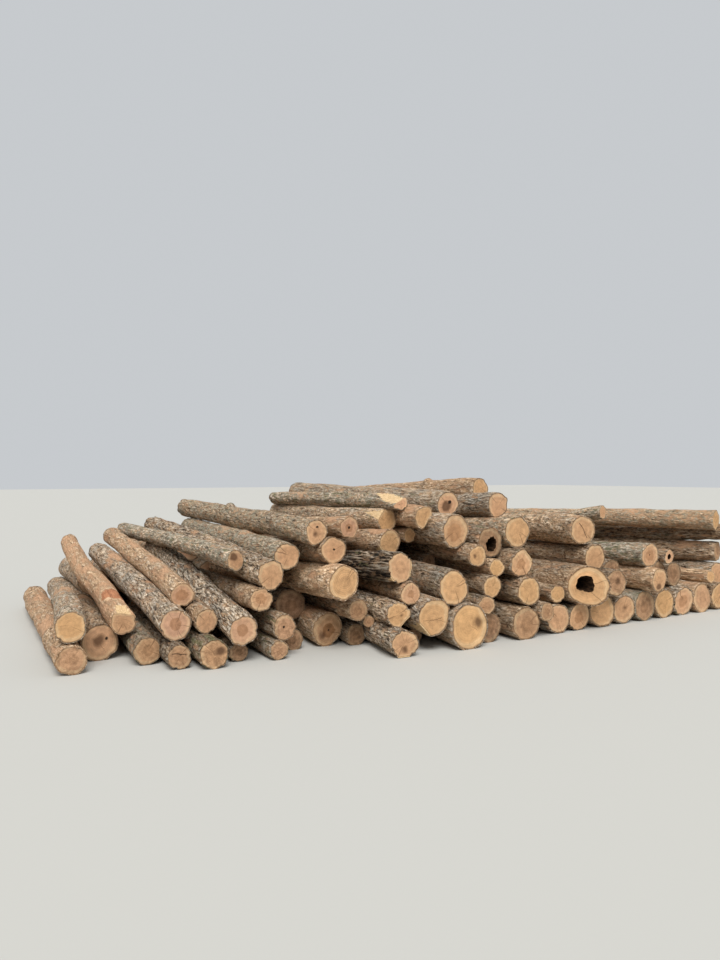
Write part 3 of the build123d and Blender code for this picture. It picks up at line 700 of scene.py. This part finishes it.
    # scuffs down to the inner bark, torn along the grain
    torn = addNode(tree, "Math", {0: pattern["tears"], 1: 1.5, 2: -0.25}, operation="MULTIPLY_ADD")[0]
    torn = addNode(tree, "Math", {0: wear[0], 1: 0.27, 2: torn}, operation="MULTIPLY_ADD")[0]
    scuffed = addNode(tree, "MapRange", {0: torn, 1: 0.60, 2: 0.78, 4: 0.9}, **smooth)[0]
    inner = addNode(tree, "ValToRGB", {0: pattern["fibres"]}, stops=(
        (0.28, "#7B5A43"), (0.45, "#B08766"), (0.60, "#CFA581"), (0.78, "#E3C8A6")))[0]
    colour = addNode(tree, "Mix", {0: scuffed, 6: colour, 7: inner}, data_type="RGBA")[2]
    # a scar: red wood laid bare, with a pale ragged edge
    ragged = addNode(tree, "Math", {0: pattern["flakes"], 1: 0.8, 2: -0.42}, operation="MULTIPLY_ADD")[0]
    ragged = addNode(tree, "Math", {0: stain[2], 1: ragged}, operation="ADD")[0]
    paleEdge = addNode(tree, "MapRange", {0: ragged, 1: 0.22, 2: 0.30}, **smooth)[0]
    colour = addNode(tree, "Mix", {0: paleEdge, 6: colour, 7: linear("#D9B691")}, data_type="RGBA")[2]
    redWood = addNode(tree, "ValToRGB", {0: pattern["fibres"]}, stops=(
        (0.30, "#9C6344"), (0.70, "#CB9069")))[0]
    laidBare = addNode(tree, "MapRange", {0: ragged, 1: 0.42, 2: 0.50}, **smooth)[0]
    colour = addNode(tree, "Mix", {0: laidBare, 6: colour, 7: redWood}, data_type="RGBA")[2]
    # lichen in crusts of a few centimetres, moss where it stays damp
    crust = addNode(tree, "Math", {0: wear[1], 1: 0.26, 2: pattern["crusts"]}, operation="MULTIPLY_ADD")[0]
    crust = addNode(tree, "MapRange", {0: crust, 1: 0.64, 2: 0.74, 4: 0.62}, **smooth)[0]
    pale = addNode(tree, "ValToRGB", {0: pattern["grit"]}, stops=(
        (0.28, "#6E6E5C"), (0.50, "#969480"), (0.75, "#BCBAA8")))[0]
    colour = addNode(tree, "Mix", {0: crust, 6: colour, 7: pale}, data_type="RGBA")[2]
    damp = addNode(tree, "Math", {0: 1.0, 1: torn}, operation="SUBTRACT")[0]
    damp = addNode(tree, "Math", {0: wear[2], 1: 0.36, 2: damp}, operation="MULTIPLY_ADD")[0]
    damp = addNode(tree, "MapRange", {0: damp, 1: 0.62, 2: 0.76, 4: 0.7}, **smooth)[0]
    moss = addNode(tree, "ValToRGB", {0: pattern["grit"]}, stops=(
        (0.28, "#3F3D28"), (0.50, "#6A6A46"), (0.75, "#94936C")))[0]
    colour = addNode(tree, "Mix", {0: damp, 6: colour, 7: moss}, data_type="RGBA")[2]
    # the bark's own cut edge, round a saw cut, is dark
    sawn = addNode(tree, "MapRange", {0: stain[1], 1: 0.995, 2: 0.955, 4: 0.38}, **smooth)[0]
    colour = addNode(tree, "Mix", {0: sawn, 6: colour, 7: linear("#4A3828")}, data_type="RGBA")[2]
    tree.links.new(colour, shader.inputs["Base Color"])
    kept = addNode(tree, "Math", {0: scuffed, 1: -0.7, 2: 1.0}, operation="MULTIPLY_ADD")[0]
    relieved = addNode(tree, "Math", {0: height, 1: depth}, operation="MULTIPLY")[0]
    relieved = addNode(tree, "Math", {0: relieved, 1: kept}, operation="MULTIPLY")[0]
    bump = addNode(tree, "Bump", {"Height": relieved, "Strength": 1.0, "Distance": 0.05})[0]
    tree.links.new(bump, shader.inputs["Normal"])
    return material


def sawnEndGrain():
    # chainsaw-cut end grain of green hardwood: dull, faint growth rings round an off-centre
    # pith, a darker heart on some logs, drying checks, stains, rot and dirt
    material, tree, shader = newMaterial("chainsawn end grain", 0.85, 0.25)
    disc = addNode(tree, "Attribute", attribute_name="cutDisc")["Vector"]
    grain = addNode(tree, "Attribute", attribute_name="stemGrain")["Vector"]
    look, stain, ringed, crack = (
        addNode(tree, "SeparateXYZ", {0: addNode(tree, "Attribute", attribute_name=name)["Vector"]})
        for name in ("cutLook", "cutStain", "cutRings", "cutCrack"))
    ripple = addNode(tree, "TexNoise", {"Vector": disc, "Scale": 1.6, "Detail": 3.0})["Color"]
    bend = (0.30, 0.30, 0.0)    # radii that the rings waver
    wavy = addNode(tree, "VectorMath", {0: ripple, 1: bend, 2: disc}, operation="MULTIPLY_ADD")[0]
    flat = addNode(tree, "VectorMath", {0: wavy, 1: (1.0, 1.0, 0.0)}, operation="MULTIPLY")[0]
    flat = addNode(tree, "VectorMath", {0: flat, 1: (0.15, 0.15, 0.0)}, operation="SUBTRACT")[0]
    reach = addNode(tree, "VectorMath", {0: flat}, operation="LENGTH")["Value"]
    coarse = addNode(tree, "TexNoise", {"Vector": disc, "Scale": 3.2, "Detail": 6.0,
                                        "Roughness": 0.62})["Fac"]
    place = addNode(tree, "VectorMath", {0: grain, 1: perMetre(9, 9)}, operation="MULTIPLY")[0]
    fine = addNode(tree, "TexNoise", {"Vector": place, "Scale": 1.0, "Detail": 4.0, "Roughness": 0.72})["Fac"]
    # growth rings, much coarser than the real 2 to 4 mm, so that they show: so many waves to a
    # radius, times two pi, and how strong
    rings = 0.0
    for waves, strength in ((62.0, 1.0), (17.0, 0.8)):
        wave = addNode(tree, "Math", {0: reach, 1: waves}, operation="MULTIPLY")[0]
        wave = addNode(tree, "Math", {0: wave}, operation="SINE")[0]
        rings = addNode(tree, "Math", {0: wave, 1: strength, 2: rings}, operation="MULTIPLY_ADD")[0]
    rings = addNode(tree, "Math", {0: rings, 1: ringed[0]}, operation="MULTIPLY")[0]
    pinkish, golden = linear("#C79B7E"), linear("#CEA26D")
    colour = addNode(tree, "Mix", {0: look[1], 6: pinkish, 7: golden}, data_type="RGBA")[2]
    # heartwood
    edge = addNode(tree, "Math", {0: reach, 1: ringed[1]}, operation="DIVIDE")[0]
    edge = addNode(tree, "Math", {0: coarse, 1: 0.16, 2: edge}, operation="MULTIPLY_ADD")[0]
    heart = addNode(tree, "MapRange", {0: edge, 1: 0.60, 2: 0.50}, **smooth)[0]
    heart = addNode(tree, "Math", {0: heart, 1: look[2]}, operation="MULTIPLY")[0]
    colour = addNode(tree, "Mix", {0: heart, 6: colour, 7: linear("#96663F")}, data_type="RGBA")[2]
    # paler sapwood inside the bark
    sap = addNode(tree, "MapRange", {0: reach, 1: 0.70, 2: 0.86, 4: 0.45}, **smooth)[0]
    colour = addNode(tree, "Mix", {0: sap, 6: colour, 7: linear("#D6BA92")}, data_type="RGBA")[2]
    lift = addNode(tree, "Math", {0: coarse, 1: 0.95, 2: -0.55}, operation="MULTIPLY_ADD")[0]
    lift = addNode(tree, "Math", {0: look[0], 1: 1.55, 2: lift}, operation="MULTIPLY_ADD")[0]
    lift = addNode(tree, "Math", {0: rings, 1: 0.085, 2: lift}, operation="MULTIPLY_ADD")[0]
    lift = addNode(tree, "Math", {0: fine, 1: 0.34, 2: lift}, operation="MULTIPLY_ADD")[0]
    lift = addNode(tree, "CombineColor", {0: lift, 1: lift, 2: lift})[0]
    colour = addNode(tree, "Mix", {0: 1.0, 6: colour, 7: lift}, data_type="RGBA", blend_type="MULTIPLY")[2]
    # brown and grey stains
    blotch = addNode(tree, "TexNoise", {"Vector": disc, "Scale": 2.3, "Detail": 7.0, "Roughness": 0.7,
                                        "Distortion": 0.8})["Fac"]
    blotch = addNode(tree, "Math", {0: stain[0], 1: 0.34, 2: blotch}, operation="MULTIPLY_ADD")[0]
    blotch = addNode(tree, "MapRange", {0: blotch, 1: 0.62, 2: 0.86, 4: 0.62}, **smooth)[0]
    brown = addNode(tree, "Mix", {0: fine, 6: linear("#5A3F2A"), 7: linear("#8A6B4E")}, data_type="RGBA")[2]
    colour = addNode(tree, "Mix", {0: blotch, 6: colour, 7: brown}, data_type="RGBA")[2]
    # drying checks run out from the pith
    spoke = addNode(tree, "VectorMath", {0: flat}, operation="NORMALIZE")[0]
    spoke = addNode(tree, "VectorMath", {0: spoke, 1: (5.0, 5.0, 0.0)}, operation="MULTIPLY")[0]
    spoke = addNode(tree, "VectorMath", {0: disc, 1: (0.0, 0.0, 1.0), 2: spoke}, operation="MULTIPLY_ADD")[0]
    check = addNode(tree, "TexNoise", {"Vector": spoke, "Scale": 1.0, "Detail": 1.0})["Fac"]
    check = addNode(tree, "Math", {0: reach, 1: -0.05, 2: check}, operation="MULTIPLY_ADD")[0]
    check = addNode(tree, "MapRange", {0: check, 1: 0.645, 2: 0.665, 4: 0.55}, **smooth)[0]
    colour = addNode(tree, "Mix", {0: check, 6: colour, 7: linear("#5B402B")}, data_type="RGBA")[2]
    # one soft brown spot, one hole painted near black as its shade with no depth to it, and one straight
    # crack, where a log has them
    for name, dark, soft, strength, ragged, widening in (
            ("cutSpot", "#4E3423", 0.16, 0.80, 0.35, 0.17), ("cutHolePaintedShade", "#160E09", 0.03, 0.95, 0.10, 0.05)):
        spot = addNode(tree, "Attribute", attribute_name=name)["Vector"]
        size = addNode(tree, "SeparateXYZ", {0: spot})[2]
        gone = addNode(tree, "VectorMath", {0: flat, 1: spot}, operation="SUBTRACT")[0]
        gone = addNode(tree, "VectorMath", {0: gone, 1: (1.0, 1.0, 0.0)}, operation="MULTIPLY")[0]
        gone = addNode(tree, "VectorMath", {0: gone}, operation="LENGTH")["Value"]
        gone = addNode(tree, "Math", {0: coarse, 1: -ragged, 2: gone}, operation="MULTIPLY_ADD")[0]
        gone = addNode(tree, "Math", {0: gone, 1: widening}, operation="ADD")[0]
        gone = addNode(tree, "Math", {0: gone, 1: size}, operation="SUBTRACT")[0]
        inside = addNode(tree, "MapRange", {0: gone, 1: soft, 2: -soft, 4: strength}, **smooth)[0]
        known = addNode(tree, "Math", {0: size, 1: 0.0}, operation="GREATER_THAN")[0]
        inside = addNode(tree, "Math", {0: inside, 1: known}, operation="MULTIPLY")[0]
        colour = addNode(tree, "Mix", {0: inside, 6: colour, 7: linear(dark)}, data_type="RGBA")[2]
    lean = addNode(tree, "Math", {0: crack[0]}, operation="RADIANS")[0]
    turned = addNode(tree, "VectorRotate", {"Vector": flat, "Angle": lean}, rotation_type="Z_AXIS",
                     invert=True)[0]
    turned = addNode(tree, "SeparateXYZ", {0: turned})
    beside = addNode(tree, "Math", {0: turned[1], 1: crack[1]}, operation="SUBTRACT")[0]
    beside = addNode(tree, "Math", {0: coarse, 1: 0.12, 2: beside}, operation="MULTIPLY_ADD")[0]
    beside = addNode(tree, "Math", {0: beside, 1: 0.06}, operation="SUBTRACT")[0]
    beside = addNode(tree, "Math", {0: beside}, operation="ABSOLUTE")[0]
    parted = addNode(tree, "Math", {0: beside, 1: crack[2]}, operation="LESS_THAN")[0]
    inward = addNode(tree, "Math", {0: turned[0]}, operation="ABSOLUTE")[0]
    inward = addNode(tree, "Math", {0: inward, 1: 0.62}, operation="LESS_THAN")[0]
    parted = addNode(tree, "Math", {0: parted, 1: inward}, operation="MULTIPLY")[0]
    parted = addNode(tree, "Math", {0: parted, 1: 0.8}, operation="MULTIPLY")[0]
    colour = addNode(tree, "Mix", {0: parted, 6: colour, 7: linear("#2A1B12")}, data_type="RGBA")[2]
    # the dark line of the inner bark
    rim = addNode(tree, "MapRange", {0: stain[1], 1: 0.87, 2: 0.93, 4: 0.75}, **smooth)[0]
    colour = addNode(tree, "Mix", {0: rim, 6: colour, 7: linear("#7A5738")}, data_type="RGBA")[2]
    tree.links.new(colour, shader.inputs["Base Color"])
    relieved = addNode(tree, "Math", {0: rings, 1: 0.15, 2: fine}, operation="MULTIPLY_ADD")[0]
    bump = addNode(tree, "Bump", {"Height": relieved, "Strength": 0.4, "Distance": 0.004})[0]
    tree.links.new(bump, shader.inputs["Normal"])
    return material


def rottedHeart():
    # punky brown rot inside a hollow, partly painted shade: the lining is nearly black all over, not only in
    # the depth
    material, tree, shader = newMaterial("rotted heartwood and painted shade", 1.0, 0.1)
    grain = addNode(tree, "Attribute", attribute_name="stemGrain")["Vector"]
    place = addNode(tree, "VectorMath", {0: grain, 1: perMetre(25, 60)}, operation="MULTIPLY")[0]
    crumb = addNode(tree, "TexNoise", {"Vector": place, "Scale": 1.0, "Detail": 5.0})["Fac"]
    colour = addNode(tree, "ValToRGB", {0: crumb}, stops=((0.30, "#140D09"), (0.70, "#3E2B1C")))[0]
    tree.links.new(colour, shader.inputs["Base Color"])
    bump = addNode(tree, "Bump", {"Height": crumb, "Strength": 1.0, "Distance": 0.02})[0]
    tree.links.new(bump, shader.inputs["Normal"])
    return material


def tornWood():
    # long-grain wood laid bare where the stem was sawn or split at a slant
    material, tree, shader = newMaterial("torn long-grain wood", 0.8, 0.3)
    grain = addNode(tree, "Attribute", attribute_name="stemGrain")["Vector"]
    place = addNode(tree, "VectorMath", {0: grain, 1: perMetre(10, 180)}, operation="MULTIPLY")[0]
    fibre = addNode(tree, "TexNoise", {"Vector": place, "Scale": 1.0, "Detail": 5.0, "Roughness": 0.6})["Fac"]
    colour = addNode(tree, "ValToRGB", {0: fibre}, stops=(
        (0.28, "#A58560"), (0.50, "#D4B284"), (0.75, "#EDD9B0")))[0]
    tree.links.new(colour, shader.inputs["Base Color"])
    bump = addNode(tree, "Bump", {"Height": fibre, "Strength": 0.5, "Distance": 0.006})[0]
    tree.links.new(bump, shader.inputs["Normal"])
    return material


materials = [hardwoodBark(), sawnEndGrain(), rottedHeart(), tornWood()]
print("materials made:", ", ".join(material.name for material in materials))


# The logs

def dressStem(template, stem, look, seed, name):
    bark = barkKinds[look[0]]
    cut = cutKinds[look[1]]
    marks = look[2]
    mesh = template.copy()
    count = len(mesh.vertices)
    unit = np.empty(count * 3)
    mesh.vertices.foreach_get("co", unit)
    unit = unit.reshape(-1, 3)
    points, grain, level, angle, run, split = shapeStem(unit, stem, bark, marks, seed)
    mesh.vertices.foreach_set("co", points.ravel())
    fields = colourFields(bark, cut, marks, seed, level, angle, run, stem["length"])
    fields["stemGrain"] = grain
    for key, values in fields.items():
        attribute = mesh.attributes.new(key, "FLOAT_VECTOR", "POINT")
        attribute.data.foreach_set("vector", values.astype(np.float32).ravel())
    for material in materials:
        mesh.materials.append(material)
    if split.any():
        loops = np.empty(len(mesh.loops), dtype=np.int32)
        mesh.loops.foreach_get("vertex_index", loops)
        starts = np.empty(len(mesh.polygons), dtype=np.int32)
        mesh.polygons.foreach_get("loop_start", starts)
        slots = np.empty(len(mesh.polygons), dtype=np.int32)
        mesh.polygons.foreach_get("material_index", slots)
        torn = np.minimum.reduceat(split[loops], starts) > 0.5
        slots[torn & (slots == barkSlot)] = tornSlot
        mesh.polygons.foreach_set("material_index", slots)
    mesh.update()
    stemObject = bpy.data.objects.new(name, mesh)
    bpy.context.scene.collection.objects.link(stemObject)
    return stemObject


shownTemplate = unitStem(stemMesh["around"], stemMesh["along"])
hiddenTemplate = unitStem(stemMesh["aroundHidden"], stemMesh["alongHidden"])
print("unit stems made:", len(shownTemplate.polygons), "faces where a log shows")

seed = 0
stemCount = {"shown": 0, "hidden": 0}
for node in nodes:
    stems = readStems(node)
    looks = logLooks.get(node, ["hidden"] * len(stems))
    drawn = []
    for number, (stem, look) in enumerate(zip(stems, looks)):
        seed += 1
        template = shownTemplate
        if look == "hidden":
            rng = np.random.default_rng(seed)
            look = (str(rng.choice(["grey", "brown", "furrowed", "smooth", "tan", "lichened"])),
                    str(rng.choice(["tan", "golden", "hearted", "pink"])), {})
            # ends hidden in the front courses get a dark bark and cut: painted shade, as they lie deep in the
            # heap
            if node in logLooks:
                look = ("dark", "dirtyAndShaded", {})               # deep in the front of the heap
            template = hiddenTemplate
        elif "hollow" in look[2]:
            template = unitStem(stemMesh["around"], stemMesh["along"], look[2]["hollow"])
        drawn.append(dressStem(template, stem, look, seed, f"{node}_{number}"))
        stemCount["hidden" if template is hiddenTemplate else "shown"] += 1
    piece = drawn[0]
    with bpy.context.temp_override(active_object=piece, object=piece, selected_objects=drawn,
                                   selected_editable_objects=drawn):
        bpy.ops.object.join()
    piece.name = piece.data.name = f"{node}_bark"
    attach(piece, "root")
    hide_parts(node)
print("stems drawn:", stemCount)


# Floor, light and camera

def makeFloor():
    bm = bmesh.new()
    bmesh.ops.create_grid(bm, x_segments=1, y_segments=1, size=120)
    mesh = bpy.data.meshes.new("floor")
    bm.to_mesh(mesh)
    bm.free()
    floor = bpy.data.objects.new("floor", mesh)
    bpy.context.scene.collection.objects.link(floor)
    material, tree, shader = newMaterial("pale studio floor", 0.9, 0.3)
    shader.inputs["Base Color"].default_value = linear("#BFBDB6")
    mesh.materials.append(material)


makeFloor()

light = {"around": 0.72, "key": 2.9, "keyAngle": 35.0, "keyTurn": (36, 8, -35)}
world = bpy.data.worlds.new("soft light all round")
bpy.context.scene.world = world
world.use_nodes = True
world.node_tree.nodes["Background"].inputs[0].default_value = linear("#E6EAEE")
world.node_tree.nodes["Background"].inputs[1].default_value = light["around"]
sun = bpy.data.lights.new("soft key light", "SUN")
sun.energy = light["key"]
sun.angle = math.radians(light["keyAngle"])
sunObject = bpy.data.objects.new("soft key light", sun)
sunObject.rotation_euler = [math.radians(value) for value in light["keyTurn"]]
bpy.context.scene.collection.objects.link(sunObject)

# The camera stands 2.4 m high, in front of the heap's left end, and looks along it slantwise
view = {"fromCorner": (-1.125, -7.650, 2.4), "turn": 30.0, "down": 0.4, "lens": 27.0}
low = Vector(frameBox[0])
camera = bpy.data.cameras.new("camera")
camera.lens = view["lens"]
camera.clip_end = 400
cameraObject = bpy.data.objects.new("camera", camera)
cameraObject.location = (low.x + view["fromCorner"][0], low.y + view["fromCorner"][1], view["fromCorner"][2])
cameraObject.rotation_euler = (math.radians(90 - view["down"]), 0, math.radians(-view["turn"]))
bpy.context.scene.collection.objects.link(cameraObject)
bpy.context.scene.camera = cameraObject
bpy.context.scene.view_settings.view_transform = "Standard"
print("camera set")

triangles = [sum(len(face.vertices) - 2 for face in item.data.polygons)
             for item in bpy.data.objects if item.name.endswith("_bark")]
print("triangles in the logs:", sum(triangles), "most in a piece:", max(triangles))
